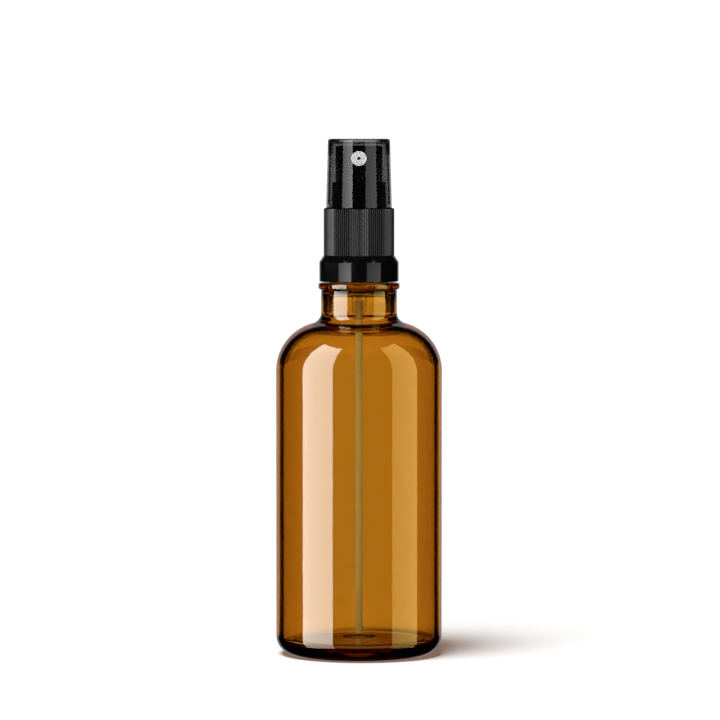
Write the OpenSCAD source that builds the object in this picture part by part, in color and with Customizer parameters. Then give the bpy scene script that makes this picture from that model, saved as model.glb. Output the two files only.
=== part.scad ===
// Glass bottle with a screw-on fine mist sprayer, an overcap and a dip tube.
// Millimetres. The origin is the middle of the base, +Z is up, the nozzle faces -Y.

/* [Bottle] */
// Outside diameter of the glass body
body_d = 47; // [40:0.5:56]
// Height of the straight side above the table
body_h = 80.6; // [50:0.2:120]
// Radius of the bottom corner
base_corner_r = 5.2; // [4:0.1:7]
// Thickness of the glass wall
glass_t = 2; // [1.6:0.1:2.4]
// Radius of the round shoulder
shoulder_r = 13.9; // [11:0.1:16]
// Radius of the curve between shoulder and neck
neck_curve_r = 3.2; // [2:0.1:4]
// Length of the straight neck
neck_h = 6.5; // [4:0.1:12]
// Height of the bead under the screw thread
bead_h = 1.9; // [1.4:0.1:3]
// Height of the push-up under the base
punt_h = 1.8; // [1:0.1:3]
// Thickness of the glass in the middle of the base
base_t = 3.2; // [2.4:0.1:5]

/* [Screw finish] */
// Outside diameter over the thread on the glass
thread_d = 17.7; // [17.2:0.1:22]
// Rise of the thread in one turn
thread_pitch = 3.175; // [2.8:0.005:3.6]
// Height of the thread above the glass
thread_depth = 1.05; // [0.8:0.05:1.2]
// Height of the finish from the bead to the lip
finish_h = 15.95; // [14.5:0.05:22]

/* [Closure] */
// Thickness of the wide band at the bottom of the closure
band_t = 2.07; // [1.6:0.01:3]
// Height of the wide band
band_h = 5.55; // [4:0.05:8]
// Thickness of the skirt under the ribs
skirt_t = 0.61; // [0.5:0.01:1.2]
// Number of grip ribs
rib_count = 96; // [48:4:120]
// Height of a grip rib above the skirt
rib_depth = 0.22; // [0.15:0.01:0.4]
// Thickness of the deck
deck_t = 1.56; // [1.2:0.01:2.5]
// Height of the chimney above the deck
chimney_h = 7.34; // [5:0.02:10]

/* [Sprayer] */
// Outside diameter of the actuator
actuator_d = 13.3; // [11:0.1:14]
// Height of the actuator
actuator_h = 13.6; // [12:0.1:20]
// Travel of the actuator when it is pressed
stroke = 3.8; // [2.5:0.1:4.8]
// Diameter of the nozzle insert
nozzle_d = 4.18; // [3.4:0.02:5]
// Outside diameter of the dip tube
tube_d = 2.1; // [1.8:0.05:2.3]

/* [Overcap] */
// Thickness of the overcap wall
overcap_t = 0.85; // [0.6:0.05:1.2]
// Space between overcap and actuator at the top
overcap_gap = 1; // [0.6:0.1:4]
// Difference between the overcap's lower and upper diameter
overcap_taper = 1; // [0.2:0.1:1.2]

/* [Hidden] */
$fn = 96;

// Clearances
run_gap = 0.05;
loose_gap = 0.3;
cut = 1;

// Bottle
body_r = body_d / 2;
root_r = thread_d / 2 - thread_depth;
neck_r = thread_d / 2 + 1.87;
bead_r = neck_r + 0.78;
bead_edge_r = 0.6;
mouth_r = root_r - 1.8;
lip_r = 0.6;
lip_inner_r = 0.4;
cavity_corner_r = 4.5;
cavity_neck_r = neck_r - glass_t;
cavity_top_r = 2;
shoulder_x = body_r - shoulder_r;
curve_x = neck_r + neck_curve_r;
curve_span = shoulder_r + neck_curve_r;
neck_z = body_h + sqrt(curve_span * curve_span - (curve_x - shoulder_x) * (curve_x - shoulder_x));
bead_z = neck_z + neck_h;
finish_z = bead_z + bead_h;
lip_z = finish_z + finish_h;
cavity_top_z = bead_z + 0.25;
punt_r = body_r - base_corner_r - 3.2;
punt_arc_r = (punt_r * punt_r + punt_h * punt_h) / (2 * punt_h);
floor_mid_z = punt_h + base_t;
floor_edge_z = floor_mid_z - 1;
floor_arc_r = 90;
dimple_r = 4.7;
dimple_h = 0.6;
dimple_arc_r = (dimple_r * dimple_r + dimple_h * dimple_h) / (2 * dimple_h);

// Thread
thread_turns = 1.5;
thread_low_z = lip_z - 2.1 - (thread_turns + 0.5) * thread_pitch;
thread_base_w = 1.7;
thread_crest_w = 0.8;
closure_thread_turns = 1.1;
closure_thread_base_w = 1.3;
closure_thread_crest_w = 0.7;
closure_thread_drop = (thread_base_w + closure_thread_base_w) / 2 + 0.12;
thread_sink = 0.25;

// Stack on the lip, from the gasket up to the deck
gasket_t = 1;
flange_t = 1.2;
chaplet_t = 1.4;
flange_z = lip_z + gasket_t;
chaplet_z = flange_z + flange_t;
deck_z = chaplet_z + chaplet_t;
deck_top_z = deck_z + deck_t;

// Closure
closure_bore_r = thread_d / 2 + loose_gap;
closure_z = finish_z + 0.35;
band_r = closure_bore_r + band_t;
band_cone_h = 1.85;
band_relief_r = band_r - 1.2;
band_relief_h = 4;
band_edge_r = 0.3;
core_r = closure_bore_r + skirt_t;
rib_r = core_r + rib_depth;
rib_top_r = 0.45;
rib_foot_z = closure_z + band_h + band_cone_h;
flange_r = closure_bore_r - 0.55;
retainer_r = flange_r - 0.3;
retainer_h = 0.6;
retainer_top_z = flange_z - 0.2;
actuator_r = actuator_d / 2;
chimney_bore_r = actuator_r + loose_gap;
chimney_top_r = chimney_bore_r + 0.6;
chimney_foot_r = chimney_top_r + 0.2;
chimney_edge_r = 0.2;
chimney_top_z = deck_top_z + chimney_h;

// Pump, from the seal down to the tail
stem_r = 1.9;
stem_bore_r = 0.9;
guide_r = stem_r + 0.35;
chaplet_neck_r = guide_r + 1.7;
chaplet_top_z = deck_top_z + 0.34;
sleeve_h = 3.5;
barrel_bore_r = 3.7;
barrel_r = barrel_bore_r + 0.9;
seal_t = 1;
seal_r = 3.2;
seal_z = chaplet_z - sleeve_h;
bell_r = 3.1;
bell_bore_r = 2.7;
bell_top_t = 0.45;
bell_ceiling_z = seal_z - run_gap - bell_top_t;
slip = 0.5;
piston_body_h = 3.5;
piston_neck_r = 1.9;
precompression_len = 3.1;
piston_top_z = bell_ceiling_z - precompression_len;
piston_z = piston_top_z - piston_body_h;
stop_play = 0.1;
bell_z = piston_top_z + slip + stop_play;
rod_r = 1.3;
rod_top_z = bell_ceiling_z + 2.2;
rod_flange_t = 1;
rod_flange_r = 3.1;
rod_guide_r = 2.1;
rod_guide_h = 2.2;
main_wire = 0.5;
main_coils = 5;
main_coil_r = 2.75;
main_top_z = piston_z - rod_flange_t;
main_len = stroke + main_coils * main_wire + 0.6;
barrel_floor_z = main_top_z - main_len;
fine_wire = 0.3;
fine_coils = 4.5;
fine_coil_r = 2.3;

// Inlet valve and tail
ball_r = 1.2;
ball_chamber_r = ball_r + loose_gap;
ball_ring_r = 1;
ball_ring_t = 0.6;
ball_lift = 0.8;
ball_ring_z = barrel_floor_z - ball_ring_t;
ball_z = ball_ring_z - sqrt(ball_r * ball_r - ball_ring_r * ball_ring_r) - 0.15 - ball_lift;
seat_gap = 0.02;
seat_apex_z = ball_z - (ball_r + seat_gap) * sqrt(2);
inlet_r = 0.65;
tube_r = tube_d / 2;
tube_bore_r = tube_r - 0.4;
tube_top_z = seat_apex_z + inlet_r - 1;
tube_z = floor_mid_z + 1;
tail_r = 2.05;
tail_z = tube_top_z - 7.9;
tail_cone_z = barrel_floor_z - 2;
tail_cone_top_z = barrel_floor_z - 0.6;
tail_chamfer = 0.3;

// Actuator
stop_gap = 0.34;
actuator_z = deck_top_z + stroke + stop_gap;
actuator_top_z = actuator_z + actuator_h;
actuator_edge_r = 0.55;
dish_r = actuator_r - 1.4;
dish_h = 0.45;
dish_arc_r = (dish_r * dish_r + dish_h * dish_h) / (2 * dish_h);
actuator_bore_r = actuator_r - 0.8;
actuator_core_z = actuator_top_z - 7.2;
boss_r = 3.2;
boss_z = chaplet_top_z + stroke + loose_gap;
stem_top_z = actuator_core_z + 0.8;
channel_r = 0.7;
slot_h = 0.7;
nozzle_r = nozzle_d / 2;
nozzle_z = actuator_top_z - 3.7;
nozzle_face_y = -actuator_r + 0.15;
nozzle_len = 3.7;
nozzle_wall = 0.75;
nozzle_edge_r = 0.15;
nozzle_cavity_r = nozzle_r - 0.5;
post_r = nozzle_cavity_r - 0.25;
post_len = nozzle_len - nozzle_wall - 0.15;
nozzle_back_y = nozzle_face_y + nozzle_len;
recess_r = nozzle_r + 0.325;
recess_y = -actuator_r + 0.5;
orifice_r = 0.15;
orifice_mouth_r = 0.55;
orifice_cone_h = 0.4;

// Overcap
overcap_bore_r = chimney_foot_r + 0.7;
overcap_r = overcap_bore_r + overcap_t;
overcap_top_r = overcap_r - overcap_taper / 2;
overcap_top_z = actuator_top_z + overcap_gap + overcap_t;
overcap_edge_r = 0.7;
overcap_rib_count = 8;
overcap_rib_w = 0.8;
overcap_rib_h = 3.5;
overcap_rib_z = deck_top_z + 0.4;
overcap_rib_r = chimney_foot_r + run_gap;

// A box in the half plane, from corner to corner.
module block(x0, z0, x1, z1) {
    translate([x0, z0])
        square([x1 - x0, z1 - z0]);
}

// A round post in the half plane with rounded corners at its top and bottom.
module post(r, z0, z1, corner) {
    block(0, z0 + corner, r, z1 - corner);
    block(0, z0, r - corner, z1);
    translate([r - corner, z0 + corner])
        circle(corner);
    translate([r - corner, z1 - corner])
        circle(corner);
}

// A ring turned from a box in the half plane.
module ring(inner, outer, z0, z1) {
    rotate_extrude()
        block(inner, z0, outer, z1);
}

// The half section of body, shoulder and neck, drawn inside the outer skin by the inset.
module bottle_section(inset, bottom_z, corner_r, top_z) {
    r = body_r - inset;
    arc_r = shoulder_r - inset;
    share = arc_r / curve_span;
    join_x = shoulder_x + (curve_x - shoulder_x) * share;
    join_z = body_h + (neck_z - body_h) * share;
    block(0, bottom_z + corner_r, r, body_h);
    block(0, bottom_z, r - corner_r, body_h);
    translate([r - corner_r, bottom_z + corner_r])
        circle(corner_r);
    block(0, body_h, shoulder_x, body_h + arc_r);
    intersection() {
        translate([shoulder_x, body_h])
            circle(arc_r);
        block(0, body_h - cut, r, body_h + arc_r);
    }
    difference() {
        polygon([[0, neck_z], [curve_x, neck_z], [join_x, join_z], [0, join_z]]);
        translate([curve_x, neck_z])
            circle(neck_curve_r + inset);
    }
    block(0, neck_z, neck_r - inset, top_z);
}

// The half section of the space inside the bottle.
module cavity_section() {
    difference() {
        bottle_section(glass_t, floor_edge_z, cavity_corner_r, cavity_top_z - cavity_top_r);
        translate([0, floor_mid_z - floor_arc_r])
            circle(floor_arc_r, $fn = 240);
    }
    intersection() {
        translate([0, floor_mid_z - dimple_h + dimple_arc_r])
            circle(dimple_arc_r);
        block(0, floor_mid_z - cut, dimple_r + cut, floor_mid_z + cut);
    }
    block(0, cavity_top_z - cavity_top_r - cut, cavity_neck_r - cavity_top_r, cavity_top_z);
    translate([cavity_neck_r - cavity_top_r, cavity_top_z - cavity_top_r])
        circle(cavity_top_r);
    block(0, cavity_top_z - cut, mouth_r, lip_z + cut);
    difference() {
        block(mouth_r, lip_z - lip_inner_r, mouth_r + lip_inner_r, lip_z);
        translate([mouth_r + lip_inner_r, lip_z - lip_inner_r])
            circle(lip_inner_r);
    }
}

// A ridge on a screw line. It starts at turn 0 and height z0, and fades into the wall at both ends.
// The foot is sunk into the wall at foot_r, the crest is at crest_r.
module thread_ridge(foot_r, crest_r, foot_w, crest_w, turns, z0, first_turn) {
    steps = ceil(turns * 36);
    fade = 0.12;
    out = sign(crest_r - foot_r);
    function share(i) = min(1, (i / 36 + 0.01) / fade, ((steps - i) / 36 + 0.01) / fade);
    function point(i, r, dz) = [
        r * cos((first_turn + i / 36) * 360),
        r * sin((first_turn + i / 36) * 360),
        z0 + (first_turn + i / 36) * thread_pitch + dz
    ];
    points = [
        for (i = [0:steps])
            let (top_r = foot_r + (crest_r - foot_r) * share(i))
                each [
                    point(i, foot_r - out * thread_sink, -foot_w / 2),
                    point(i, top_r, -crest_w / 2),
                    point(i, top_r, crest_w / 2),
                    point(i, foot_r - out * thread_sink, foot_w / 2)
                ]
    ];
    last = steps * 4;
    sides = [
        for (i = [0:steps - 1], j = [0:3])
            let (a = i * 4 + j, b = i * 4 + (j + 1) % 4)
                each [[a, b, b + 4], [a, b + 4, a + 4]]
    ];
    ends = [
        for (j = [1:2])
            each [[0, j + 1, j], [last, last + j, last + j + 1]]
    ];
    faces = concat(sides, ends);
    turned = [for (f = faces) [f[2], f[1], f[0]]];
    polyhedron(points, out > 0 ? faces : turned);
}

// A coil spring between two heights, with one closed turn at each end.
module coil_spring(coil_r, wire, coils, z0, z1) {
    around = 24;
    sides = 8;
    steps = coils * around;
    wire_r = wire / 2 / cos(180 / sides);
    open_turns = coils - 2;
    closed_rise = wire * 1.12;
    rise = z1 - z0 - wire - 2 * closed_rise;
    function height(t) =
        t < 1 ? closed_rise * t :
        t > coils - 1 ? closed_rise * (t - coils + 2) + rise :
        closed_rise + rise * (t - 1) / open_turns;
    points = [
        for (i = [0:steps], j = [0:sides - 1])
            let (
                turn = i / around,
                side = (j + 0.5) * 360 / sides,
                r = coil_r + wire_r * cos(side)
            )
                [
                    r * cos(turn * 360),
                    r * sin(turn * 360),
                    z0 + wire / 2 + height(turn) + wire_r * sin(side)
                ]
    ];
    last = steps * sides;
    walls = [
        for (i = [0:steps - 1], j = [0:sides - 1])
            let (a = i * sides + j, b = i * sides + (j + 1) % sides)
                each [[a, b + sides, b], [a, a + sides, b + sides]]
    ];
    ends = [
        for (j = [1:sides - 2])
            each [[0, j, j + 1], [last, last + j + 1, last + j]]
    ];
    polyhedron(points, [for (f = concat(walls, ends)) [f[0], f[2], f[1]]]);
}

module bottle() {
    color([0.55, 0.27, 0.04, 0.6]) {
        rotate_extrude()
            difference() {
                union() {
                    bottle_section(0, 0, base_corner_r, bead_z + bead_edge_r);
                    post(bead_r, bead_z, finish_z, bead_edge_r);
                    block(0, finish_z - bead_edge_r, root_r, lip_z - lip_r);
                    block(0, lip_z - lip_r, root_r - lip_r, lip_z);
                    translate([root_r - lip_r, lip_z - lip_r])
                        circle(lip_r);
                }
                cavity_section();
                translate([0, punt_h - punt_arc_r])
                    circle(punt_arc_r, $fn = 240);
            }
        thread_ridge(
            root_r, thread_d / 2, thread_base_w, thread_crest_w,
            thread_turns, thread_low_z, 0.5
        );
    }
}

// The outer skin of the closure as a half section: band, cone and ribbed part.
module closure_skin(r) {
    block(0, closure_z + band_edge_r, band_r, closure_z + band_h);
    block(0, closure_z, band_r - band_edge_r, closure_z + cut);
    translate([band_r - band_edge_r, closure_z + band_edge_r])
        circle(band_edge_r);
    polygon([
        [0, closure_z + band_h],
        [band_r, closure_z + band_h],
        [rib_r, rib_foot_z],
        [r, rib_foot_z],
        [0, rib_foot_z]
    ]);
    post(r, rib_foot_z - cut, deck_top_z, rib_top_r);
}

// The star-shaped outline of the grip ribs.
module rib_outline() {
    rib = 360 / rib_count;
    foot_r = core_r - 0.08;
    top_r = rib_r + 0.02;
    polygon([
        for (i = [0:rib_count - 1])
            each [
                [foot_r * cos((i - 0.4) * rib), foot_r * sin((i - 0.4) * rib)],
                [top_r * cos((i - 0.16) * rib), top_r * sin((i - 0.16) * rib)],
                [top_r * cos((i + 0.16) * rib), top_r * sin((i + 0.16) * rib)],
                [foot_r * cos((i + 0.4) * rib), foot_r * sin((i + 0.4) * rib)]
            ]
    ]);
}

module closure() {
    color([0.06, 0.06, 0.06]) {
        difference() {
            union() {
                rotate_extrude()
                    closure_skin(core_r);
                intersection() {
                    translate([0, 0, rib_foot_z - cut])
                        linear_extrude(deck_top_z - rib_foot_z + cut)
                            rib_outline();
                    rotate_extrude()
                        closure_skin(rib_r);
                }
                rotate_extrude()
                    chimney_section();
            }
            rotate_extrude()
                union() {
                    block(0, closure_z - cut, closure_bore_r, deck_z);
                    block(0, closure_z - cut, band_relief_r, closure_z + band_relief_h);
                    block(0, deck_z - cut, chaplet_neck_r + loose_gap, deck_top_z + cut);
                    block(0, deck_top_z, chimney_bore_r, chimney_top_z + cut);
                }
        }
        ring(retainer_r, closure_bore_r + rib_depth, retainer_top_z - retainer_h, retainer_top_z);
        thread_ridge(
            closure_bore_r, root_r + loose_gap, closure_thread_base_w, closure_thread_crest_w,
            closure_thread_turns, thread_low_z - closure_thread_drop, 0.5
        );
    }
}

// The chimney, a little wider at its foot, with rounded upper edges.
module chimney_section() {
    top_r = chimney_top_r - chimney_edge_r;
    polygon([
        [0, deck_top_z - rib_top_r],
        [chimney_foot_r, deck_top_z - rib_top_r],
        [chimney_foot_r, deck_top_z],
        [chimney_top_r, chimney_top_z - chimney_edge_r],
        [0, chimney_top_z - chimney_edge_r]
    ]);
    block(0, chimney_top_z - cut, top_r, chimney_top_z);
    translate([top_r, chimney_top_z - chimney_edge_r])
        circle(chimney_edge_r);
}

// The half section of the overcap, drawn inside its outer skin by the inset.
module overcap_section(inset, bottom_z) {
    top_z = overcap_top_z - inset;
    top_r = overcap_top_r - inset;
    edge_r = overcap_edge_r - inset / 2;
    polygon([
        [0, bottom_z],
        [overcap_r - inset, bottom_z],
        [top_r, top_z - edge_r],
        [0, top_z - edge_r]
    ]);
    block(0, top_z - edge_r - cut, top_r - edge_r, top_z);
    translate([top_r - edge_r, top_z - edge_r])
        circle(edge_r);
}

module overcap() {
    color([0.2, 0.2, 0.2, 0.5]) {
        rotate_extrude()
            difference() {
                overcap_section(0, deck_top_z);
                overcap_section(overcap_t, deck_top_z - cut);
            }
        intersection() {
            rotate_extrude()
                block(
                    overcap_rib_r, overcap_rib_z,
                    overcap_bore_r + overcap_t / 4, overcap_rib_z + overcap_rib_h
                );
            for (i = [0:overcap_rib_count - 1])
                rotate([0, 0, (i + 0.5) * 360 / overcap_rib_count])
                    translate([0, -overcap_rib_w / 2, deck_top_z])
                        cube([overcap_r, overcap_rib_w, overcap_rib_h + cut]);
        }
    }
}

// The outside of the actuator as a half section.
module actuator_skin() {
    edge_r = actuator_edge_r;
    difference() {
        union() {
            block(0, actuator_z, actuator_r, actuator_top_z - edge_r);
            block(0, actuator_z, actuator_r - edge_r, actuator_top_z);
            translate([actuator_r - edge_r, actuator_top_z - edge_r])
                circle(edge_r);
        }
        translate([0, actuator_top_z - dish_h + dish_arc_r])
            circle(dish_arc_r, $fn = 240);
    }
}

module actuator() {
    color([0.05, 0.05, 0.05]) {
        difference() {
            rotate_extrude()
                difference() {
                    actuator_skin();
                    block(boss_r, actuator_z - cut, actuator_bore_r, actuator_core_z);
                    block(0, actuator_z - cut, boss_r + cut, boss_z);
                    block(0, boss_z - cut, stem_r, stem_top_z);
                    block(0, stem_top_z - cut, channel_r, nozzle_z + channel_r);
                }
            translate([0, recess_y, nozzle_z])
                rotate([90, 0, 0])
                    cylinder(r = recess_r, h = 2 * cut);
            difference() {
                translate([0, nozzle_back_y, nozzle_z])
                    rotate([90, 0, 0])
                        cylinder(r = nozzle_r, h = nozzle_len + cut);
                translate([0, nozzle_back_y, nozzle_z])
                    rotate([90, 0, 0])
                        cylinder(r = post_r, h = post_len);
            }
            translate([-nozzle_cavity_r, nozzle_back_y - cut / 2, nozzle_z - slot_h / 2])
                cube([2 * nozzle_cavity_r, cut / 2 - nozzle_back_y, slot_h]);
        }
    }
}

// Turned about the nozzle's axis: x is the radius, the height runs from the back to the face.
module nozzle_insert() {
    edge_r = nozzle_edge_r;
    color([0.9, 0.9, 0.88])
        translate([0, nozzle_back_y, nozzle_z])
            rotate([90, 0, 0])
                rotate_extrude()
                    difference() {
                        union() {
                            block(0, 0, nozzle_r, nozzle_len - edge_r);
                            block(0, 0, nozzle_r - edge_r, nozzle_len);
                            translate([nozzle_r - edge_r, nozzle_len - edge_r])
                                circle(edge_r);
                        }
                        block(0, -cut, nozzle_cavity_r, nozzle_len - nozzle_wall);
                        block(0, 0, orifice_r, nozzle_len + cut);
                        polygon([
                            [0, nozzle_len - orifice_cone_h],
                            [orifice_r, nozzle_len - orifice_cone_h],
                            [orifice_mouth_r, nozzle_len],
                            [orifice_mouth_r, nozzle_len + cut],
                            [0, nozzle_len + cut]
                        ]);
                    }
}

module stem() {
    color([0.92, 0.92, 0.9])
        rotate_extrude()
            difference() {
                union() {
                    block(0, bell_z, bell_r, bell_ceiling_z + bell_top_t);
                    block(0, bell_ceiling_z, stem_r, stem_top_z);
                }
                block(0, bell_z - cut, bell_bore_r, bell_ceiling_z);
                block(0, bell_ceiling_z - cut, rod_r + run_gap, rod_top_z);
                block(0, rod_top_z - cut, stem_bore_r, stem_top_z + cut);
            }
}

module piston() {
    outer_r = barrel_bore_r - 0.04;
    waist_r = outer_r - 0.46;
    bore_r = rod_r + run_gap;
    edge = 0.1;
    lip_h = 0.3;
    lip_run = 1;
    color([0.95, 0.95, 0.93])
        rotate_extrude()
            difference() {
                union() {
                    polygon([
                        [0, piston_z],
                        [outer_r - edge, piston_z],
                        [outer_r, piston_z + lip_h],
                        [waist_r, piston_z + lip_run],
                        [waist_r, piston_top_z - lip_run],
                        [outer_r, piston_top_z - lip_h],
                        [outer_r - edge, piston_top_z],
                        [0, piston_top_z]
                    ]);
                    block(0, piston_top_z - cut, piston_neck_r, bell_ceiling_z - slip - stop_play);
                }
                block(0, piston_z - cut, bore_r, bell_ceiling_z + cut);
            }
}

module piston_rod() {
    groove_w = 0.6;
    groove_depth = 0.4;
    cross_h = 0.8;
    color([0.88, 0.88, 0.86])
        difference() {
            rotate_extrude()
                union() {
                    block(0, main_top_z, rod_flange_r, piston_z);
                    block(0, piston_z - cut / 2, rod_r, rod_top_z);
                    post(rod_guide_r, main_top_z - rod_guide_h, main_top_z + 0.5, 0.3);
                }
            for (a = [0:90:270])
                rotate([0, 0, a])
                    translate([rod_r - groove_depth, -groove_w / 2, piston_z + 0.2])
                        cube([cut, groove_w, rod_top_z - piston_z]);
            for (a = [0, 90])
                rotate([0, 0, a])
                    translate([-rod_r - cut, -groove_w / 2, rod_top_z - cross_h])
                        cube([2 * (rod_r + cut), groove_w, cross_h + cut]);
        }
}

module main_spring() {
    color([0.75, 0.75, 0.77])
        coil_spring(main_coil_r, main_wire, main_coils, barrel_floor_z, main_top_z);
}

module precompression_spring() {
    color([0.75, 0.75, 0.77])
        coil_spring(fine_coil_r, fine_wire, fine_coils, piston_top_z, bell_ceiling_z);
}

module check_ball() {
    color([0.8, 0.8, 0.82])
        translate([0, 0, ball_z])
            sphere(r = ball_r);
}

module pump_housing() {
    vent_r = 0.4;
    vent_drop = 3;
    color([0.9, 0.9, 0.86, 0.7])
        difference() {
            rotate_extrude()
                difference() {
                    union() {
                        block(0, flange_z, flange_r, chaplet_z);
                        block(0, tail_cone_top_z, barrel_r, chaplet_z);
                        polygon([
                            [0, tail_cone_z],
                            [tail_r, tail_cone_z],
                            [barrel_r - 0.6, tail_cone_top_z - 0.5],
                            [barrel_r, tail_cone_top_z],
                            [0, tail_cone_top_z]
                        ]);
                        block(0, tail_z + tail_chamfer, tail_r, tail_cone_z + cut);
                        polygon([
                            [0, tail_z],
                            [tail_r - tail_chamfer, tail_z],
                            [tail_r, tail_z + tail_chamfer],
                            [0, tail_z + tail_chamfer]
                        ]);
                    }
                    block(0, barrel_floor_z, barrel_bore_r, chaplet_z + cut);
                    block(0, barrel_floor_z - cut, ball_ring_r, barrel_floor_z + cut);
                    block(0, seat_apex_z + ball_chamber_r, ball_chamber_r, ball_ring_z);
                    polygon([
                        [0, seat_apex_z],
                        [ball_chamber_r, seat_apex_z + ball_chamber_r],
                        [0, seat_apex_z + ball_chamber_r]
                    ]);
                    block(0, tail_z - cut, inlet_r, seat_apex_z + inlet_r);
                    block(0, tail_z - cut, tube_r, tube_top_z);
                }
            translate([0, 0, flange_z - vent_drop])
                rotate([0, -90, 0])
                    cylinder(r = vent_r, h = barrel_r + cut, $fn = 32);
        }
}

module chaplet() {
    color([0.93, 0.93, 0.9])
        rotate_extrude()
            difference() {
                union() {
                    block(0, chaplet_z, flange_r - 0.6, deck_z);
                    block(0, seal_z, barrel_bore_r, chaplet_z + cut);
                    block(0, chaplet_z, chaplet_neck_r, chaplet_top_z);
                }
                block(0, seal_z - cut, guide_r, chaplet_top_z + cut);
                block(0, seal_z - cut, seal_r, seal_z + seal_t);
            }
}

module stem_seal() {
    color([0.1, 0.1, 0.1])
        ring(stem_r + run_gap, seal_r, seal_z, seal_z + seal_t);
}

module neck_gasket() {
    color([0.85, 0.85, 0.85])
        ring(barrel_r, retainer_r - loose_gap, lip_z, flange_z);
}

module dip_tube() {
    color([0.92, 0.92, 0.88, 0.7])
        ring(tube_bore_r, tube_r, tube_z, tube_top_z);
}

bottle();
closure();
overcap();
actuator();
nozzle_insert();
stem();
precompression_spring();
piston();
piston_rod();
main_spring();
check_ball();
pump_housing();
chaplet();
stem_seal();
neck_gasket();
dip_tube();
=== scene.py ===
"""Looks of the glass bottle with its fine mist sprayer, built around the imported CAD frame.

Shapes are worked out in millimetres, with the same sizes as the CAD source, and made in metres.
+Z is up, the nozzle faces -Y.
"""

import math

import bmesh
import bpy
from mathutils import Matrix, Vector


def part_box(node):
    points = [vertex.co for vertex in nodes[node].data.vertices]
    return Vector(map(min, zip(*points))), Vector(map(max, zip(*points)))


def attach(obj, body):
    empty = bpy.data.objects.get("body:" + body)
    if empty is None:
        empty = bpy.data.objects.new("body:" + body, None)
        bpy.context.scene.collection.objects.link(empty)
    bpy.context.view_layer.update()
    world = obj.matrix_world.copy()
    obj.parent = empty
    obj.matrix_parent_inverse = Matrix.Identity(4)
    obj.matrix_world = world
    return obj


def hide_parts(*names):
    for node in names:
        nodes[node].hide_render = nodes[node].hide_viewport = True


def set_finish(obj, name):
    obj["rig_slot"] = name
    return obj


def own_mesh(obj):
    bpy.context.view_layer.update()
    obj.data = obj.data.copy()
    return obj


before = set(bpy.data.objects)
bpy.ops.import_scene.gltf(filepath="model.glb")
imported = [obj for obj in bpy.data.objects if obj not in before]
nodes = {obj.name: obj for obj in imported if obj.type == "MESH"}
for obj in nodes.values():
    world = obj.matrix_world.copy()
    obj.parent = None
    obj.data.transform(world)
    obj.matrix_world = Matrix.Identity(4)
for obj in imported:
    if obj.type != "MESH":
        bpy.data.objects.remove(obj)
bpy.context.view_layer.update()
MM = 0.001


# ---------------------------------------------------------------- sizes, in millimetres
def top(node):
    """Height of a CAD node's highest point."""
    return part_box(node)[1].z / MM


def foot(node):
    """Height of a CAD node's lowest point."""
    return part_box(node)[0].z / MM


body_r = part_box("bottle")[1].x / MM
lip_z = top("bottle")
body_h = 80.6
glass_t = 2.0
heel_r = 5.2
punt_r, punt_h = body_r - heel_r - 3.2, 1.8
shoulder_r, neck_curve_r = 13.9, 3.2
thread_r = 8.85
root_r = thread_r - 1.05
neck_r = thread_r + 1.87
bead_r = neck_r + 0.78
mouth_r = root_r - 1.8
shoulder_x, curve_x = body_r - shoulder_r, neck_r + neck_curve_r
curve_span = shoulder_r + neck_curve_r
neck_z = body_h + math.sqrt(curve_span**2 - (curve_x - shoulder_x) ** 2)
bead_z = neck_z + 6.5
finish_z = bead_z + 1.9
cavity_top_z = bead_z + 0.25
pitch = 3.175
thread_low_z = lip_z - 2.1 - 2 * pitch

closure_z = foot("closure")
chimney_top_z = top("closure")
band_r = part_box("closure")[1].x / MM
deck_top_z = foot("overcap")
bore_r = thread_r + 0.3
core_r = bore_r + 0.61
rib_r = core_r + 0.22
rib_foot_z = closure_z + 7.4
RIBS = 96


# ---------------------------------------------------------------- mesh helpers
def arc(cx, cz, r, a0, a1, step=4.0):
    """Points on an arc from a0 to a1 degrees, both ends included."""
    n = max(2, round(abs(a1 - a0) / step))
    angles = [math.radians(a0 + (a1 - a0) * i / n) for i in range(n + 1)]
    return [(cx + r * math.cos(a), cz + r * math.sin(a)) for a in angles]


def line(x0, z0, x1, z1, n):
    """n - 1 points between two points, without the ends."""
    return [(x0 + (x1 - x0) * i / n, z0 + (z1 - z0) * i / n) for i in range(1, n)]


def tagged(points, tag):
    return [(x, z, tag) for x, z in points]


def even_angles(n, extra=()):
    """n even angles round the axis, in degrees, and the extra ones."""
    found = sorted({round(i * 360 / n, 4) for i in range(n)} | {round(a % 360, 4) for a in extra})
    return [a for i, a in enumerate(found) if i == 0 or a - found[i - 1] > 0.02]


def make_object(name, bm, sharp_deg=32):
    """A smooth shaded object of a bmesh, with the edges above the angle left sharp."""
    bmesh.ops.recalc_face_normals(bm, faces=bm.faces)
    mesh = bpy.data.meshes.new(name)
    bm.to_mesh(mesh)
    bm.free()
    mesh.shade_smooth()
    mesh.set_sharp_from_angle(angle=math.radians(sharp_deg))
    obj = bpy.data.objects.new(name, mesh)
    bpy.context.scene.collection.objects.link(obj)
    return obj


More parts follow.
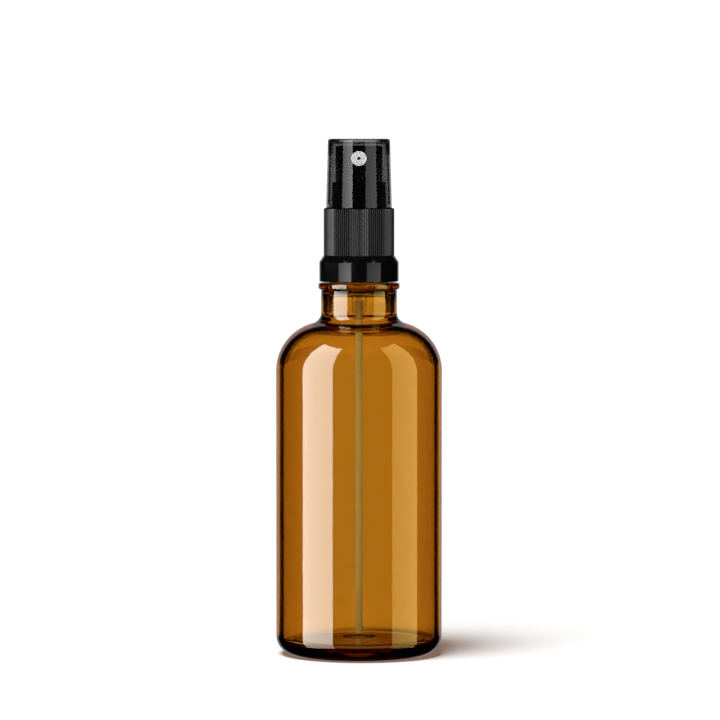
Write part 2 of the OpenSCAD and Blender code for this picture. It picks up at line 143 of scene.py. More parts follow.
def lathe(name, profile, angles, warp=None, closed=False, sharp_deg=32):
    """Turns a half section about Z. A point on the axis becomes one vertex.

    warp(x, z, degrees, tag) may move the points that carry a tag.
    """
    bm = bmesh.new()
    turned = [(math.cos(math.radians(a)), math.sin(math.radians(a)), a) for a in angles]
    rings = []
    for x, z, *tag in profile:
        if x < 1e-6:
            rings.append([bm.verts.new((0, 0, z * MM))])
            continue
        ring = []
        for c, s, a in turned:
            px, pz = warp(x, z, a, tag[0]) if warp and tag else (x, z)
            ring.append(bm.verts.new((px * c * MM, px * s * MM, pz * MM)))
        rings.append(ring)
    count = len(angles)
    for low, high in zip(rings, rings[1:] + (rings[:1] if closed else [])):
        for i in range(count):
            j = (i + 1) % count
            if len(low) == 1:
                bm.faces.new((low[0], high[j], high[i]))
            elif len(high) == 1:
                bm.faces.new((low[i], low[j], high[0]))
            else:
                bm.faces.new((low[i], low[j], high[j], high[i]))
    return make_object(name, bm, sharp_deg)


def ridge(z, degrees, start_z, turns, foot_w, crest_w):
    """How far a screw ridge stands at this place, from 0 at its foot to 1 on its crest.

    The screw line starts at half a turn and fades in and out at its ends.
    """
    turn = degrees / 360
    turn += round((z - start_z) / pitch - turn)
    off = abs(z - start_z - turn * pitch)
    share = min(1, (turn - 0.49) / 0.12, (0.51 + turns - turn) / 0.12)
    rise = min(1, max(0, (foot_w / 2 - off) / ((foot_w - crest_w) / 2)))
    return max(0, share) * rise * rise * (3 - 2 * rise)


# ---------------------------------------------------------------- bottle
KNURLS = 90
SEAM_H = 0.04


def bottle_warp(x, z, a, tag):
    if tag == "thread":
        return x + (thread_r - root_r) * ridge(z, a, thread_low_z, 1.5, 1.7, 0.8), z
    if tag == "knurl":
        return x, z + 0.16 * (0.5 - 0.5 * math.cos(math.radians(a * KNURLS)))
    # The skin, with the parting lines of the two mould halves.
    off = math.radians(min(a % 180, 180 - a % 180)) * x
    return x - SEAM_H * (1 - math.exp(-((off / 0.22) ** 2))), z


def bottle_profile():
    lean = math.degrees(math.atan2(neck_z - body_h, curve_x - shoulder_x))
    punt_arc = (punt_r**2 + punt_h**2) / (2 * punt_h)
    punt_lean = math.degrees(math.asin(punt_r / punt_arc))
    skin, thread, knurl = "skin", "thread", "knurl"
    heel_x = body_r - heel_r
    cavity_r = body_r - glass_t
    inner_neck_r = neck_r - glass_t
    pts = [(0, punt_h)]
    pts += arc(0, punt_h - punt_arc, punt_arc, 90, 90 - punt_lean, 1.2)[1:-1]
    pts += [(punt_r - 0.15, 0.03), (punt_r + 0.15, 0.0)]
    pts += tagged([(punt_r + 0.9, 0.0), (punt_r + 1.6, 0.0), (heel_x - 0.9, 0.0)], knurl)
    pts += arc(heel_x, heel_r, heel_r, -90, -72, 3)
    pts += tagged(arc(heel_x, heel_r, heel_r, -68, 0, 4), skin)
    low, high = heel_r + 0.6, body_h - 0.6
    pts += tagged([(body_r, low), *line(body_r, low, body_r, high, 6), (body_r, high)], skin)
    pts += tagged(arc(shoulder_x, body_h, shoulder_r, 0, lean, 2.5), skin)
    pts += tagged(arc(curve_x, neck_z, neck_curve_r, 180 + lean, 180, 6)[1:], skin)
    pts += tagged([(neck_r, neck_z + 3), (neck_r, bead_z - 0.3)], skin)
    pts += tagged([(neck_r + 0.09, bead_z - 0.09), (neck_r + 0.2, bead_z)], skin)
    pts += tagged(arc(bead_r - 0.55, bead_z + 0.6, 0.55, -90, 0, 15)[1:], skin)
    pts += tagged(arc(bead_r - 0.6, finish_z - 0.6, 0.6, 0, 90, 15), skin)
    pts += [(root_r + 0.5, finish_z), (root_r + 0.15, finish_z + 0.15), (root_r, finish_z + 0.5)]
    z0, z1 = thread_low_z + 0.1, lip_z - 1.05
    pts += tagged(line(root_r, z0, root_r, z1, 44), thread)
    pts += arc(root_r - 0.6, lip_z - 0.6, 0.6, 0, 90, 15)
    pts += arc(mouth_r + 0.4, lip_z - 0.4, 0.4, 90, 180, 18)
    pts += [(mouth_r, cavity_top_z + 1), (mouth_r, cavity_top_z + 0.15)]
    pts += [(mouth_r + 0.15, cavity_top_z)]
    pts += arc(inner_neck_r - 2, cavity_top_z - 2, 2, 90, 0, 9)
    # Inside, the neck meets the shoulder in a tighter curve than outside.
    bend_r = 1.5
    bend_x = inner_neck_r + bend_r
    bend_lean = math.degrees(math.acos((bend_x - shoulder_x) / (shoulder_r - glass_t + bend_r)))
    bend_z = body_h + (shoulder_r - glass_t + bend_r) * math.sin(math.radians(bend_lean))
    pts += arc(bend_x, bend_z, bend_r, 180, 180 + bend_lean, 8)
    pts += arc(shoulder_x, body_h, shoulder_r - glass_t, bend_lean, 0, 2.5)[1:]
    # The straight wall ends a little above the corner that turns in to the floor.
    wall_z, corner_r, corner_z = 6.2, 1.3, 5.35
    pts += [(cavity_r, high), *line(cavity_r, high, cavity_r, wall_z, 6), (cavity_r, wall_z)]
    pts += arc(cavity_r - corner_r, corner_z, corner_r, 0, -86, 8)
    # A shallow channel runs round the floor, then comes its flat crown.
    pts += [(19.4, 3.99), (19.0, 4.03), (18.82, 4.18), (18.7, 4.38), (18.48, 4.47)]
    crown_z, crown_r = 5, 320
    pts += arc(0, crown_z - crown_r, crown_r, 90 - 3.25, 90 - 1.0, 0.3)
    # The small dimple in the middle of the floor, with its steep rim and the mark of the plunger.
    pts += [(4.95, 4.93), (4.75, 4.88), (4.55, 4.72), (4.35, 4.56), (4.1, 4.47), (3.7, 4.44)]
    pts += [(3.0, 4.45), (2.75, 4.5), (2.5, 4.62), (2.25, 4.7), (1.9, 4.73), (1.0, 4.74), (0, 4.74)]
    return pts


seam_angles = [s + d for s in (0, 180) for d in (-1.4, -0.6, -0.3, 0.3, 0.6, 1.4)]
bottle = lathe(
    "bottle_glass", bottle_profile(), even_angles(360, seam_angles), bottle_warp, sharp_deg=40
)
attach(bottle, "bottle")
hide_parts("bottle")
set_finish(bottle, "amber_glass")


# ---------------------------------------------------------------- closure
def closure_warp(x, z, a, tag):
    if tag == "thread":
        start = thread_low_z - 1.62
        return x - (bore_r - root_r - 0.3) * ridge(z, a, start, 1.1, 1.3, 0.7), z
    rise = abs((a * RIBS / 360) % 1 - 0.5) * 2
    return x - (rib_r - core_r) * (1 - rise), z


def closure_profile():
    rib, thread = "rib", "thread"
    band_top = closure_z + 5.55
    deck_z = deck_top_z - 1.56
    pts = arc(band_r - 0.3, closure_z + 0.3, 0.3, -90, 0, 18)
    pts += [(band_r, closure_z + 0.4), (band_r, band_top - 0.2)]
    pts += arc(band_r - 0.12, band_top - 0.08, 0.12, 0, 34, 12)
    pts += [(rib_r + 0.03, rib_foot_z - 0.04)]
    pts += [(rib_r, rib_foot_z)]
    rib_top_z = deck_top_z - 0.45
    flank = [(rib_r, rib_foot_z + 0.06), (rib_r, rib_foot_z + 0.16), (rib_r, rib_top_z - 0.1)]
    pts += tagged(flank, rib)
    pts += tagged(arc(rib_r - 0.45, rib_top_z, 0.45, 0, 90, 15), rib)
    pts += [(9.1, deck_top_z), (7.95, deck_top_z)]
    pts += [(7.8, deck_top_z + 0.05), (7.745, deck_top_z + 0.25)]
    pts += [(7.74, deck_top_z + 0.4), (7.56, chimney_top_z - 0.3)]
    pts += arc(7.35, chimney_top_z - 0.2, 0.2, 0, 90, 18)
    pts += arc(7.07, chimney_top_z - 0.12, 0.12, 90, 180, 30)
    pts += [(6.95, deck_top_z + 0.15), (6.8, deck_top_z)]
    pts += [(4.4, deck_top_z), (4.25, deck_top_z - 0.15)]
    pts += [(4.25, deck_z), (bore_r - 0.3, deck_z), (bore_r, deck_z - 0.3)]
    # A low ring stands inwards from the bore, above the thread.
    pts += [(bore_r, 122.35), (8.45, 122.295), (8.3, 122.15)]
    pts += [(8.3, 121.85), (8.5, 121.695), (bore_r, 121.5)]
    pts += tagged(line(bore_r, 117.9, bore_r, 112.3, 34), thread)
    pts += [(bore_r, 110.2), (bore_r + 0.3, 109.895), (9.8, 109.895), (10.02, 109.7)]
    pts += [(10.02, closure_z + 0.2), (10.2, closure_z)]
    return pts


closure = lathe(
    "closure_ribbed", closure_profile(), even_angles(RIBS * 8), closure_warp, closed=True
)
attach(closure, "closure")
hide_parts("closure")
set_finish(closure, "black_plastic")


# ---------------------------------------------------------------- overcap
overcap_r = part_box("overcap")[1].x / MM
overcap_top_z = top("overcap")
overcap_t = 0.85


def overcap_profile():
    top_r = overcap_r - 0.5
    top_z, inner_top_z = overcap_top_z, overcap_top_z - overcap_t
    inner_r, inner_top_r = overcap_r - overcap_t, top_r - overcap_t
    pts = [(0, top_z), (4, top_z), (top_r - 1.2, top_z)]
    pts += arc(top_r - 0.7, top_z - 0.7, 0.7, 90, 3, 9)
    foot_z, slope = deck_top_z + 0.2, (overcap_r - top_r) / (top_z - 0.7 - deck_top_z)
    pts += [(top_r + slope * 0.3, top_z - 1.0)]
    pts += line(top_r + slope * 0.3, top_z - 1.0, overcap_r, foot_z, 5)
    pts += [(overcap_r, foot_z)]
    pts += arc(overcap_r - 0.13, deck_top_z + 0.13, 0.13, 0, -90, 30)
    pts += arc(inner_r + 0.13, deck_top_z + 0.13, 0.13, -90, -180, 30)
    pts += [(inner_r, foot_z + 0.1)]
    pts += line(inner_r, foot_z + 0.1, inner_top_r, inner_top_z - 0.3, 5)
    pts += arc(inner_top_r - 0.3, inner_top_z - 0.3, 0.3, 3, 90, 15)
    pts += [(4, inner_top_z), (0, inner_top_z)]
    return pts


overcap = lathe("overcap_smoked", overcap_profile(), even_angles(240))
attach(overcap, "overcap")
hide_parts("overcap")
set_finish(overcap, "smoked_plastic")


# ---------------------------------------------------------------- springs
def coil(name, mean_r, wire, coils, z0, z1):
    """A coil spring with one closed turn at each end."""
    around, sides = 64, 14
    closed_rise = wire * 1.12
    rise = z1 - z0 - wire - 2 * closed_rise
    bm = bmesh.new()
    rings = []
    for i in range(round(coils * around) + 1):
        t = i / around
        if t < 1:
            height = closed_rise * t
        elif t > coils - 1:
            height = closed_rise * (t - coils + 2) + rise
        else:
            height = closed_rise + rise * (t - 1) / (coils - 2)
        turn = math.tau * t
        ring = []
        for j in range(sides):
            side = math.tau * (j + 0.5) / sides
            r = (mean_r + wire / 2 * math.cos(side)) * MM
            z = (z0 + wire / 2 + height + wire / 2 * math.sin(side)) * MM
            ring.append(bm.verts.new((r * math.cos(turn), r * math.sin(turn), z)))
        rings.append(ring)
    for low, high in zip(rings, rings[1:]):
        for j in range(sides):
            k = (j + 1) % sides
            bm.faces.new((low[j], low[k], high[k], high[j]))
    bm.faces.new(rings[0])
    bm.faces.new(rings[-1])
    return make_object(name, bm, 60)


main_spring = coil("main_spring_coil", 2.75, 0.5, 5, foot("main_spring"), top("main_spring"))
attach(main_spring, "pump_unit")
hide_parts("main_spring")
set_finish(main_spring, "spring_steel")
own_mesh(main_spring)
fine_spring = coil(
    "precompression_spring_coil", 2.3, 0.3, 4.5,
    foot("precompression_spring"), top("precompression_spring"),
)
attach(fine_spring, "piston_rod")
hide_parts("precompression_spring")
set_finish(fine_spring, "spring_steel")
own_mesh(fine_spring)


# ---------------------------------------------------------------- materials
class Nodes:
    """A small helper that adds and links shader nodes."""

    def __init__(self, tree):
        self.tree = tree
        self.coord = None

    def add(self, kind, inputs=None, **settings):
        node = self.tree.nodes.new(kind)
        for key, value in settings.items():
            setattr(node, key, value)
        for key, value in (inputs or {}).items():
            if isinstance(value, bpy.types.NodeSocket):
                self.tree.links.new(value, node.inputs[key])
            else:
                node.inputs[key].default_value = value
        return node

    def place(self):
        """The object coordinates, in metres."""
        if self.coord is None:
            self.coord = self.add("ShaderNodeTexCoord").outputs["Object"]
        return self.coord

    def noise(self, scale, detail=3.0, stretch=None, roughness=0.5):
        vector = self.place()
        if stretch:
            vector = self.add("ShaderNodeMapping", {"Vector": vector, "Scale": stretch}).outputs[0]
        inputs = {"Vector": vector, "Scale": scale, "Detail": detail, "Roughness": roughness}
        return self.add("ShaderNodeTexNoise", inputs).outputs["Fac"]

    def span(self, value, low, high, start=0.3, end=0.7):
        """Maps a value between start and end to low and high."""
        inputs = {"Value": value, "From Min": start, "From Max": end, "To Min": low, "To Max": high}
        return self.add("ShaderNodeMapRange", inputs).outputs["Result"]

    def blend(self, share, first, second):
        node = self.add("ShaderNodeMix", data_type="RGBA")
        for socket, value in ((0, share), (6, first), (7, second)):
            if isinstance(value, bpy.types.NodeSocket):
                self.tree.links.new(value, node.inputs[socket])
            else:
                node.inputs[socket].default_value = value
        return node.outputs[2]

    def math(self, operation, first, second=0.0):
        return self.add("ShaderNodeMath", {0: first, 1: second}, operation=operation).outputs[0]

    def bump(self, height, distance, strength=1.0, normal=None):
        inputs = {"Height": height, "Distance": distance, "Strength": strength}
        if normal is not None:
            inputs["Normal"] = normal
        return self.add("ShaderNodeBump", inputs).outputs["Normal"]


def material(name, **constants):
    """A material with a Principled shader; constants go straight onto its sockets."""
    mat = bpy.data.materials.new(name)
    mat.use_nodes = True
    shader = mat.node_tree.nodes["Principled BSDF"]
    for key, value in constants.items():
        shader.inputs[key.replace("_", " ")].default_value = value
    return mat, Nodes(mat.node_tree), shader


def drive(kit, shader, **sockets):
    for key, value in sockets.items():
        kit.tree.links.new(value, shader.inputs[key.replace("_", " ")])


def grey(v, warm=0.0):
    return (v * (1 + warm), v, v * (1 - warm), 1)


def absorb(mat, colour, density):
    """Fills the body of a clear material with a colour that deepens with its thickness."""
    tree = mat.node_tree
    volume = tree.nodes.new("ShaderNodeVolumeAbsorption")
    volume.inputs["Color"].default_value = (*colour, 1)
    volume.inputs["Density"].default_value = density
    tree.links.new(volume.outputs["Volume"], tree.nodes["Material Output"].inputs["Volume"])


def amber_glass():
    mat, kit, shader = material(
        "amber_glass", Base_Color=(0.766, 0.543, 0.18, 1), Transmission_Weight=1.0, IOR=1.5
    )
    waves = kit.noise(70, 1.5, (1, 1, 0.45))
    orange_peel = kit.noise(420, 2.0)
    normal = kit.bump(waves, 0.00003)
    normal = kit.bump(orange_peel, 0.000002, normal=normal)
    smudge = kit.span(kit.noise(130, 4.0, (1, 1, 0.6), 0.6), 0.0, 0.012, 0.5, 0.75)
    drive(kit, shader, Normal=normal, Roughness=smudge)
    absorb(mat, (0.8625, 0.645, 0.036), 400)
    return mat


def smoked_plastic():
    mat, kit, shader = material(
        "smoked_plastic", Base_Color=grey(0.285), Transmission_Weight=1.0, IOR=1.49
    )
    flow = kit.noise(180, 2.0, (1, 1, 0.3))
    scuffs = kit.noise(2600, 3.0, (1, 1, 0.12))
    normal = kit.bump(flow, 0.000008)
    normal = kit.bump(scuffs, 0.0000003, normal=normal)
    drive(kit, shader, Normal=normal, Roughness=kit.span(scuffs, 0.01, 0.025, 0.4, 0.8))
    return mat


def black_plastic():
    mat, kit, shader = material("black_plastic", IOR=1.5)
    cloud = kit.noise(240, 3.0)
    grain = kit.noise(9000, 2.0)
    base = kit.blend(kit.span(cloud, 0, 1), grey(0.002), grey(0.0035, 0.03))
    rough = kit.math("ADD", kit.span(cloud, 0.07, 0.1), kit.span(grain, -0.01, 0.02))
    # The grip ribs have a duller finish than the polished band, deck and chimney.
    up = kit.add("ShaderNodeSeparateXYZ", {0: kit.place()}).outputs[2]
    above = kit.math("GREATER_THAN", up, (rib_foot_z + 0.05) * MM)
    below = kit.math("LESS_THAN", up, (deck_top_z - 0.3) * MM)
    rib_zone = kit.math("MULTIPLY", above, below)
    rough = kit.math("ADD", rough, kit.math("MULTIPLY", rib_zone, 0.06))
    flat = kit.add(
        "ShaderNodeVectorMath", {0: kit.place(), 1: (1, 1, 0)}, operation="MULTIPLY"
    ).outputs[0]
    reach = kit.add("ShaderNodeVectorMath", {0: flat}, operation="LENGTH").outputs[1]
    # The rib crests are painted a lighter grey and the grooves left near black: a painted highlight
    # along each crest and painted shade in the grooves.
    crest = kit.span(reach, 0, 1, (core_r + 0.09) * MM, (rib_r - 0.02) * MM)
    base = kit.blend(kit.math("MULTIPLY", rib_zone, crest), base, grey(0.06))
    drive(kit, shader, Base_Color=base, Roughness=rough, Normal=kit.bump(grain, 0.0000022))
    return mat


def white_plastic():
    mat, kit, shader = material(
        "white_plastic", IOR=1.48, Subsurface_Weight=0.15, Subsurface_Scale=0.0006
    )
    cloud = kit.noise(500, 3.0)
    grain = kit.noise(7000, 2.0)
    base = kit.blend(kit.span(cloud, 0, 1), (0.86, 0.855, 0.83, 1), (0.92, 0.915, 0.895, 1))
    drive(kit, shader, Base_Color=base, Roughness=kit.span(grain, 0.3, 0.42))
    drive(kit, shader, Normal=kit.bump(grain, 0.000002))
    return mat


def nozzle_plastic():
    """White plastic with the fine turning rings round the orifice, painted darker in the rings and
    near black at the orifice's mouth as painted shade.
    """
    mat, kit, shader = material("nozzle_plastic", IOR=1.48)
    place = kit.add("ShaderNodeSeparateXYZ", {0: kit.place()}).outputs
    up = kit.math("SUBTRACT", place[2], (foot("nozzle_insert") + top("nozzle_insert")) / 2 * MM)
    squares = kit.math("ADD", kit.math("POWER", place[0], 2.0), kit.math("POWER", up, 2.0))
    reach = kit.math("SQRT", squares)
    ring_pitch = 0.42 * MM
    rings = kit.math("SINE", kit.math("MULTIPLY", reach, math.tau / ring_pitch))
    # Besides the bump, the rings are painted darker: painted shade in their grooves.
    base = kit.blend(kit.span(rings, 0, 1, 0.0, 1.0), (0.93, 0.93, 0.92, 1), (0.5, 0.5, 0.495, 1))
    # The cone round the orifice is painted near black: painted shade in the recess.
    orifice_shade = kit.span(reach, 1, 0, 0.36 * MM, 0.52 * MM)
    base = kit.blend(orifice_shade, base, grey(0.01))
    grain = kit.noise(7000, 2.0)
    drive(kit, shader, Base_Color=base, Roughness=kit.span(grain, 0.28, 0.4))
    drive(kit, shader, Normal=kit.bump(rings, 0.000012))
    return mat


def natural_plastic(name="natural_plastic", clear=0.96, rough=0.06, ior=1.08):
    mat, kit, shader = material(name, Transmission_Weight=clear, IOR=ior)
    cloud = kit.noise(300, 3.0, (1, 1, 0.3))
    lines = kit.noise(5200, 2.0, (1, 1, 0.03))
    base = kit.blend(kit.span(cloud, 0, 1), (0.86, 0.85, 0.8, 1), (0.95, 0.94, 0.9, 1))
    drive(kit, shader, Base_Color=base, Roughness=kit.span(cloud, rough, rough + 0.08))
    drive(kit, shader, Normal=kit.bump(lines, 0.000003))
    return mat


def tube_plastic():
    return natural_plastic("tube_plastic", 0.35, 0.3, 1.45)


def spring_steel():
    mat, kit, shader = material("spring_steel", Metallic=1.0)
    drawn = kit.noise(3000, 2.0, (1, 1, 4))
    base = kit.blend(kit.span(drawn, 0, 1), grey(0.52), grey(0.66, 0.01))
    drive(kit, shader, Base_Color=base, Roughness=kit.span(drawn, 0.16, 0.3))
    drive(kit, shader, Normal=kit.bump(drawn, 0.000003))
    return mat


def black_rubber():
    mat, kit, shader = material("black_rubber", IOR=1.5)
    bloom = kit.noise(900, 4.0)
    base = kit.blend(kit.span(bloom, 0, 1), grey(0.014), grey(0.03))
    drive(kit, shader, Base_Color=base, Roughness=kit.span(bloom, 0.6, 0.8))
    drive(kit, shader, Normal=kit.bump(kit.noise(6000), 0.000008))
    return mat


def gasket_foam():
    mat, kit, shader = material("gasket_foam", IOR=1.45)
    cells = kit.add("ShaderNodeTexVoronoi", {"Vector": kit.place(), "Scale": 4200})
    cells = cells.outputs["Distance"]
    base = kit.blend(kit.span(cells, 0, 1, 0, 0.8), (0.6, 0.59, 0.57, 1), (0.84, 0.83, 0.81, 1))
    drive(kit, shader, Base_Color=base, Roughness=kit.span(cells, 0.75, 0.9, 0, 0.8))
    drive(kit, shader, Normal=kit.bump(cells, 0.00003))
    return mat


MAKERS = (
    amber_glass, smoked_plastic, black_plastic, white_plastic,
    nozzle_plastic, natural_plastic, tube_plastic, spring_steel, black_rubber, gasket_foam,
)
finish = {make.__name__: make() for make in MAKERS}
for piece in (bottle, closure, overcap, main_spring, fine_spring):
    piece.data.materials.append(finish[piece["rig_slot"]])
for node in nodes.values():
    for slot in node.material_slots:
        slot.material = finish[slot.material.name.split(".")[0]]
nodes["nozzle_insert"].material_slots[0].material = finish["nozzle_plastic"]
nodes["dip_tube"].material_slots[0].material = finish["tube_plastic"]
bottle.visible_diffuse = False
overcap.visible_diffuse = False


# ---------------------------------------------------------------- studio
scene = bpy.context.scene
scene.view_settings.view_transform = "Standard"
scene.cycles.max_bounces = 24
scene.cycles.transmission_bounces = 24
scene.cycles.glossy_bounces = 8


def stage_object(name, verts, faces):
    mesh = bpy.data.meshes.new(name)
    mesh.from_pydata(verts, [], faces)
    obj = bpy.data.objects.new(name, mesh)
    scene.collection.objects.link(obj)
    return obj


def seen_by(obj, *kinds):
    """Shows obj only to the named kinds of rays."""
    for kind in ("camera", "diffuse", "glossy", "transmission", "volume_scatter", "shadow"):
        setattr(obj, "visible_" + kind, kind in kinds)


def wall(name, radius, a0, a1, z0, z1):
    """A curved upright card round the bottle.

    0 degrees is straight in front, at -Y, and 90 is at +X.
    """
    n = 24
    verts = []
    for i in range(n + 1):
        a = math.radians(a0 + (a1 - a0) * i / n)
        x, y = radius * math.sin(a), -radius * math.cos(a)
        verts += [(x, y, z0), (x, y, z1)]
    faces = [(2 * i, 2 * i + 2, 2 * i + 3, 2 * i + 1) for i in range(n)]
    return stage_object(name, verts, faces)


def bare_material(name):
    """A stage material that has no shader yet."""
    mat = bpy.data.materials.new(name)
    mat.use_nodes = True
    kit = Nodes(mat.node_tree)
    kit.tree.nodes.remove(kit.tree.nodes["Principled BSDF"])
    return mat, kit


def show(kit, shader):
    """Makes shader the surface of the material."""
    kit.tree.links.new(shader, kit.tree.nodes["Material Output"].inputs["Surface"])


def show_filter(kit, pale, black_share):
    """A surface that lets light through in a pale colour and stops a share of it."""
    clear = kit.add("ShaderNodeBsdfTransparent", {"Color": pale}).outputs[0]
    black = kit.add("ShaderNodeEmission", {"Strength": 0.0}).outputs[0]
    show(kit, kit.add("ShaderNodeMixShader", {0: black_share, 1: clear, 2: black}).outputs[0])


def glow(name, first, last, a0, a1, colour):
    """An emission that changes from first to last between two angles round the bottle."""
    mat, kit = bare_material(name)
    place = kit.add("ShaderNodeSeparateXYZ", {0: kit.place()}).outputs
    angle = kit.math("ARCTAN2", place[0], kit.math("MULTIPLY", place[1], -1.0))
    power = kit.span(angle, first, last, math.radians(a0), math.radians(a1))
    # The lowest part, which the foot of the bottle shows, is dimmer.
    power = kit.math("MULTIPLY", power, kit.span(place[2], 0.42, 1, -0.13, -0.0635))
    shine = kit.add("ShaderNodeEmission", {"Color": (*colour, 1), "Strength": power}).outputs[0]
    clear = kit.add("ShaderNodeBsdfTransparent").outputs[0]
    both = kit.add("ShaderNodeAddShader", {0: shine, 1: clear}).outputs[0]
    show(kit, both)
    return mat


def group(name, objects):
    """A collection, outside the scene's tree, that light linking refers to."""
    found = bpy.data.collections.new(name)
    for obj in objects:
        found.objects.link(obj)
    return found


glass_group = group("lit_glass", [bottle])
sprayer_group = group(
    "lit_sprayer", [*nodes.values(), closure, overcap, main_spring, fine_spring]
)


def card(name, radius, a0, a1, first, last, receivers, colour=(1, 1, 1), z0=-0.35, z1=1.0):
    """A soft light that shows only as a reflection, on the receivers only."""
    obj = wall(name, radius, a0, a1, z0, z1)
    obj.data.materials.append(glow(name, first, last, a0, a1, colour))
    seen_by(obj, "glossy")
    obj.light_linking.receiver_collection = receivers


GLASS_CARD_R, SPRAYER_CARD_R = 0.6, 0.64
card("card_glass_left", GLASS_CARD_R, -83.5, -36, 11.8, 9.7, glass_group, (1.0, 1.01, 0.87))
card("card_glass_right", GLASS_CARD_R, 46, 87, 3.8, 5.7, glass_group, (1.0, 0.76, 0.2))
RIB_LOW, RIB_HIGH = 0.0955, 0.118
for part, z0, z1 in (("low", -0.35, RIB_LOW), ("high", RIB_HIGH, 1.0)):
    for side, a0, a1, first, last in (("left", -61, -23, 2.0, 4.8), ("right", 23, 65, 1.2, 1.8)):
        name = f"card_sprayer_{side}_{part}"
        card(name, SPRAYER_CARD_R, a0, a1, first, last, sprayer_group, z0=z0, z1=z1)
card("card_ribs", SPRAYER_CARD_R, -120, -8, 0.36, 0.2, sprayer_group, z0=RIB_LOW, z1=RIB_HIGH)

NECK_TINT, BODY_TINT = (0.725, 0.624, 0.79, 1), (0.975, 0.885, 1.0, 1)


def flag_paint(low, high, tint):
    """A filter that takes on a tint near +Y, then turns black between two angles from +Y."""
    mat, kit = bare_material("flag_black")
    place = kit.add("ShaderNodeSeparateXYZ", {0: kit.place()}).outputs
    angle = kit.math("ARCTAN2", kit.math("ABSOLUTE", place[0]), place[1])
    share = kit.span(angle, 0, 1, math.radians(low), math.radians(high))
    pale = kit.blend(kit.span(angle, 0, 1, math.radians(3), math.radians(12)), grey(1.0), tint)
    show_filter(kit, pale, share)
    return mat


def ring_paint(tint):
    """A filter tinted away from +Y, and black further round to light thrown back in the glass."""
    mat, kit = bare_material("ring_paint")
    depth = kit.add("ShaderNodeLightPath").outputs["Glossy Depth"]
    thrown_back = kit.math("GREATER_THAN", depth, 0.5)
    place = kit.add("ShaderNodeSeparateXYZ", {0: kit.place()}).outputs
    # The angle is measured round a point near each side of the body.
    side_x, side_y = 0.0225, 0.006
    across = kit.math("SUBTRACT", kit.math("ABSOLUTE", place[0]), side_x)
    angle = kit.math("ARCTAN2", across, kit.math("SUBTRACT", place[1], side_y))
    pale = kit.blend(kit.span(angle, 0, 1, math.radians(-1.7), math.radians(7.5)), grey(1.0), tint)
    aside = kit.span(angle, 0, 1, math.radians(24.5), math.radians(28.5))
    show_filter(kit, pale, kit.math("MULTIPLY", thrown_back, aside))
    return mat


def flags(name, radius, a0, a1, z0, z1, low, high):
    """A pair of black cards behind the bottle, which show only as dark lines through the glass."""
    paint = flag_paint(low, high, NECK_TINT)
    for side, end in ((-1, "left"), (1, "right")):
        obj = wall(f"{name}_{end}", radius, side * (180 - a1), side * (180 - a0), z0, z1)
        obj.data.materials.append(paint)
        seen_by(obj, "transmission")


RING_R, RING_TOP, RING_SIDES = 0.3, 0.0835, 72
FLAG_STEP, FLAG_TOP = 0.0925, 0.108
flags("flag_neck", RING_R, 3, 46, RING_TOP, FLAG_STEP, 25, 32)
flags("flag_shoulder", RING_R, 3, 46, FLAG_STEP, FLAG_TOP, 17.5, 22)

# Below them a filter goes round the body: an upright ring, and a flat one on the table inside it.
RING_FOOT_R, RING_FOOT_Z = 0.0236, 0.0001
around = [math.tau * i / RING_SIDES for i in range(RING_SIDES)]
verts = [
    (r * math.cos(a), r * math.sin(a), z)
    for r, z in ((RING_FOOT_R, RING_FOOT_Z), (RING_R, RING_FOOT_Z), (RING_R, RING_TOP))
    for a in around
]
faces = []
for row in (0, RING_SIDES):
    for i in range(RING_SIDES):
        j = (i + 1) % RING_SIDES
        faces.append((row + i, row + j, row + RING_SIDES + j, row + RING_SIDES + i))
flag_ring = stage_object("flag_ring", verts, faces)
flag_ring.data.materials.append(ring_paint(BODY_TINT))
seen_by(flag_ring, "transmission")

# Keeps the strong strip lights out of the grazing reflections that the sides show. The middle
# blade follows the shoulder inwards.
shoulder_line = [
    (x + 1, z) for x, z in arc(shoulder_x, body_h, shoulder_r + 0.2, 0, 75, 15)
]
BLADE_FOOT, BLADE_TOP = -10, 600
side_outline = [(33.4, BLADE_FOOT), (33.4, BLADE_TOP), (61, BLADE_TOP), (61, BLADE_FOOT)]
middle_outline = [(24.5, BLADE_FOOT), *shoulder_line, (12.7, 97.5)]
middle_outline += [(12.7, BLADE_TOP), (250, BLADE_TOP), (250, BLADE_FOOT)]
blades = ((0, middle_outline), (110, side_outline), (-110, side_outline))
for angle, outline in blades:
    x, y = math.sin(math.radians(angle)), -math.cos(math.radians(angle))
    verts = [(x * r * MM, y * r * MM, z * MM) for r, z in outline]
    blade = stage_object("blade", verts, [tuple(range(len(verts)))])
    blade.data.materials.append(flag_paint(0, 1, grey(1.0)))
    seen_by(blade, "glossy")

# An emitting disc under the base, seen only through the glass: a painted glow that stands in for
# the light the glass lets through onto the table, which lies in the bottle's shadow here.
GLOW_R, GLOW_Z = 0.0215, -0.00004
around = [math.radians(a) for a in range(0, 360, 6)]
base_glow = stage_object(
    "base_glow",
    [(GLOW_R * math.cos(a), GLOW_R * math.sin(a), GLOW_Z) for a in around],
    [tuple(range(len(around)))],
)
glow_mat, kit = bare_material("base_glow")
shine = kit.add("ShaderNodeEmission", {"Color": (1, 0.97, 0.92, 1), "Strength": 0.3})
show(kit, shine.outputs[0])
base_glow.data.materials.append(glow_mat)
seen_by(base_glow, "transmission")

FLOOR = 12.0
floor = stage_object(
    "floor",
    [(-FLOOR, -FLOOR, 0), (FLOOR, -FLOOR, 0), (FLOOR, FLOOR, 0), (-FLOOR, FLOOR, 0)],
    [(0, 1, 2, 3)],
)
floor.location.z = -0.00005
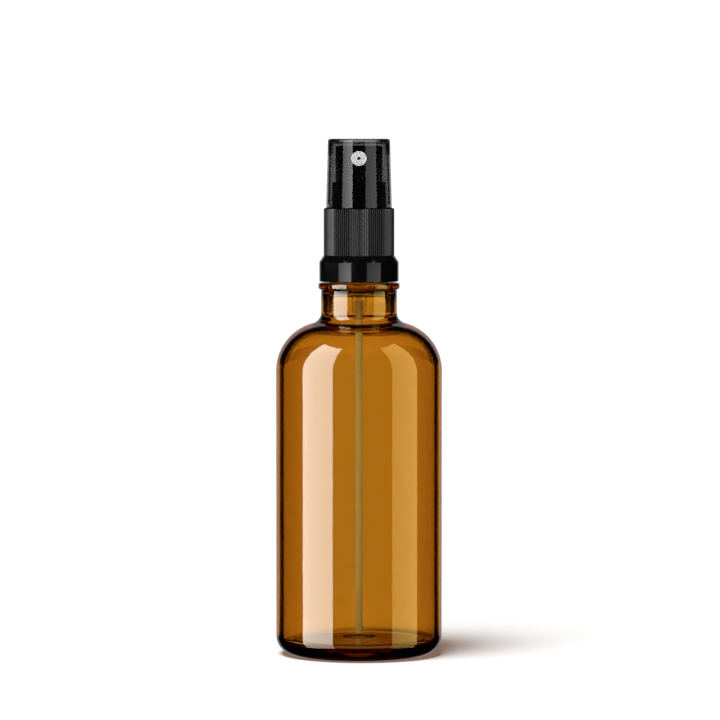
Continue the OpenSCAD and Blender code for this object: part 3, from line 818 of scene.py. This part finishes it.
# The paper also glows faintly warm: painted light that warms the bottle's shadow, as amber light
# through the glass would.
floor_mat, kit, shader = material(
    "floor_paper", Roughness=0.9, Specular_IOR_Level=0.0,
    Emission_Color=(0.175, 0.085, 0.035, 1), Emission_Strength=1.0,
)
paper = kit.noise(60, 3.0)
drive(kit, shader, Base_Color=kit.blend(kit.span(paper, 0, 1), grey(0.89), grey(0.91)))
floor.data.materials.append(floor_mat)
floor.visible_glossy = False


def lamp(name, kind, direction, energy, colour, **settings):
    data = bpy.data.lights.new(name, kind)
    data.energy = energy
    data.color = colour
    for key, value in settings.items():
        setattr(data, key, value)
    obj = bpy.data.objects.new(name, data)
    scene.collection.objects.link(obj)
    obj.rotation_euler = Vector(direction).to_track_quat("-Z", "Y").to_euler()
    obj.visible_glossy = obj.visible_transmission = False
    return obj


lamp("key", "SUN", (0.22, 0.3, -1.0), 3.35, (0.9, 0.985, 1.03), angle=math.radians(27))


def inner_lamp(name, direction, energy, receivers, blockers):
    """Light on a piece inside clear walls, which don't stand in its way."""
    obj = lamp(name, "SUN", direction, energy, (1, 1, 1), angle=math.radians(30))
    obj.light_linking.receiver_collection = group(name + "_receivers", receivers)
    obj.light_linking.blocker_collection = group(name + "_blockers", blockers)


insert, actuator = nodes["nozzle_insert"], nodes["actuator"]
inner_lamp("insert_light", (0.35, 1.0, -0.45), 8.0, [insert], [insert, actuator])
inner_lamp("rib_light", (0.5, 1.0, -0.3), 0.55, [closure], [closure])
inner_lamp("tube_light", (0.6, 1.0, -0.3), 1.15, [nodes["dip_tube"]], [nodes["dip_tube"]])

world = bpy.data.worlds.new("studio")
scene.world = world
world.use_nodes = True
kit = Nodes(world.node_tree)
rays = kit.add("ShaderNodeLightPath").outputs
towards = kit.add("ShaderNodeTexCoord").outputs["Generated"]
towards = kit.add("ShaderNodeSeparateXYZ", {0: towards}).outputs
off = kit.math("ARCCOSINE", towards[1])


def off_span(low, high, start, end):
    """Maps the angle from +Y, between start and end degrees, to low and high."""
    return kit.span(off, low, high, math.radians(start), math.radians(end))


# The dark surround starts closer in for rays that the shoulder and the base send up or down.
tilted = kit.math("GREATER_THAN", kit.math("ABSOLUTE", kit.math("ADD", towards[2], 0.0225)), 0.0325)
inner_edge = kit.math(
    "MAXIMUM",
    off_span(0, 1, 24, 31),
    kit.math("MULTIPLY", off_span(0, 1, 13.5, 18), tilted),
)
dark = kit.math("MULTIPLY", inner_edge, off_span(1, 0, 44, 48))
mirrored = kit.math("GREATER_THAN", rays["Glossy Depth"], 0.5)
upward = kit.math("MULTIPLY", mirrored, kit.math("GREATER_THAN", towards[2], 0.03))
through = kit.blend(upward, grey(1.15), (0.62, 0.42, 0.46, 1))
through = kit.blend(dark, through, grey(0.0))
astray = kit.math("MAXIMUM", kit.math("LESS_THAN", towards[2], -0.03), off_span(0, 1, 16, 30))
mirrored = kit.math("MULTIPLY", mirrored, astray)
through = kit.blend(kit.math("MULTIPLY", mirrored, 0.9), through, grey(0.004))
mirror = kit.blend(off_span(0, 1, 27, 33), (0.33, 0.34, 0.37, 1), grey(0.004))
room = kit.blend(rays["Is Diffuse Ray"], mirror, grey(0.06))
room = kit.blend(rays["Is Transmission Ray"], room, through)
room = kit.blend(rays["Is Camera Ray"], room, grey(1.1))
back = world.node_tree.nodes["Background"]
kit.tree.links.new(room, back.inputs["Color"])

# ---------------------------------------------------------------- camera
camera_data = bpy.data.cameras.new("camera")
camera_data.lens = 211.95
camera_data.sensor_width = 36
camera_data.clip_start, camera_data.clip_end = 0.05, 60
camera = bpy.data.objects.new("camera", camera_data)
camera.location = (0.00028, -1.2, 0.149)
camera.rotation_euler = (math.radians(90 - 3.12), 0, 0)
scene.collection.objects.link(camera)
scene.camera = camera
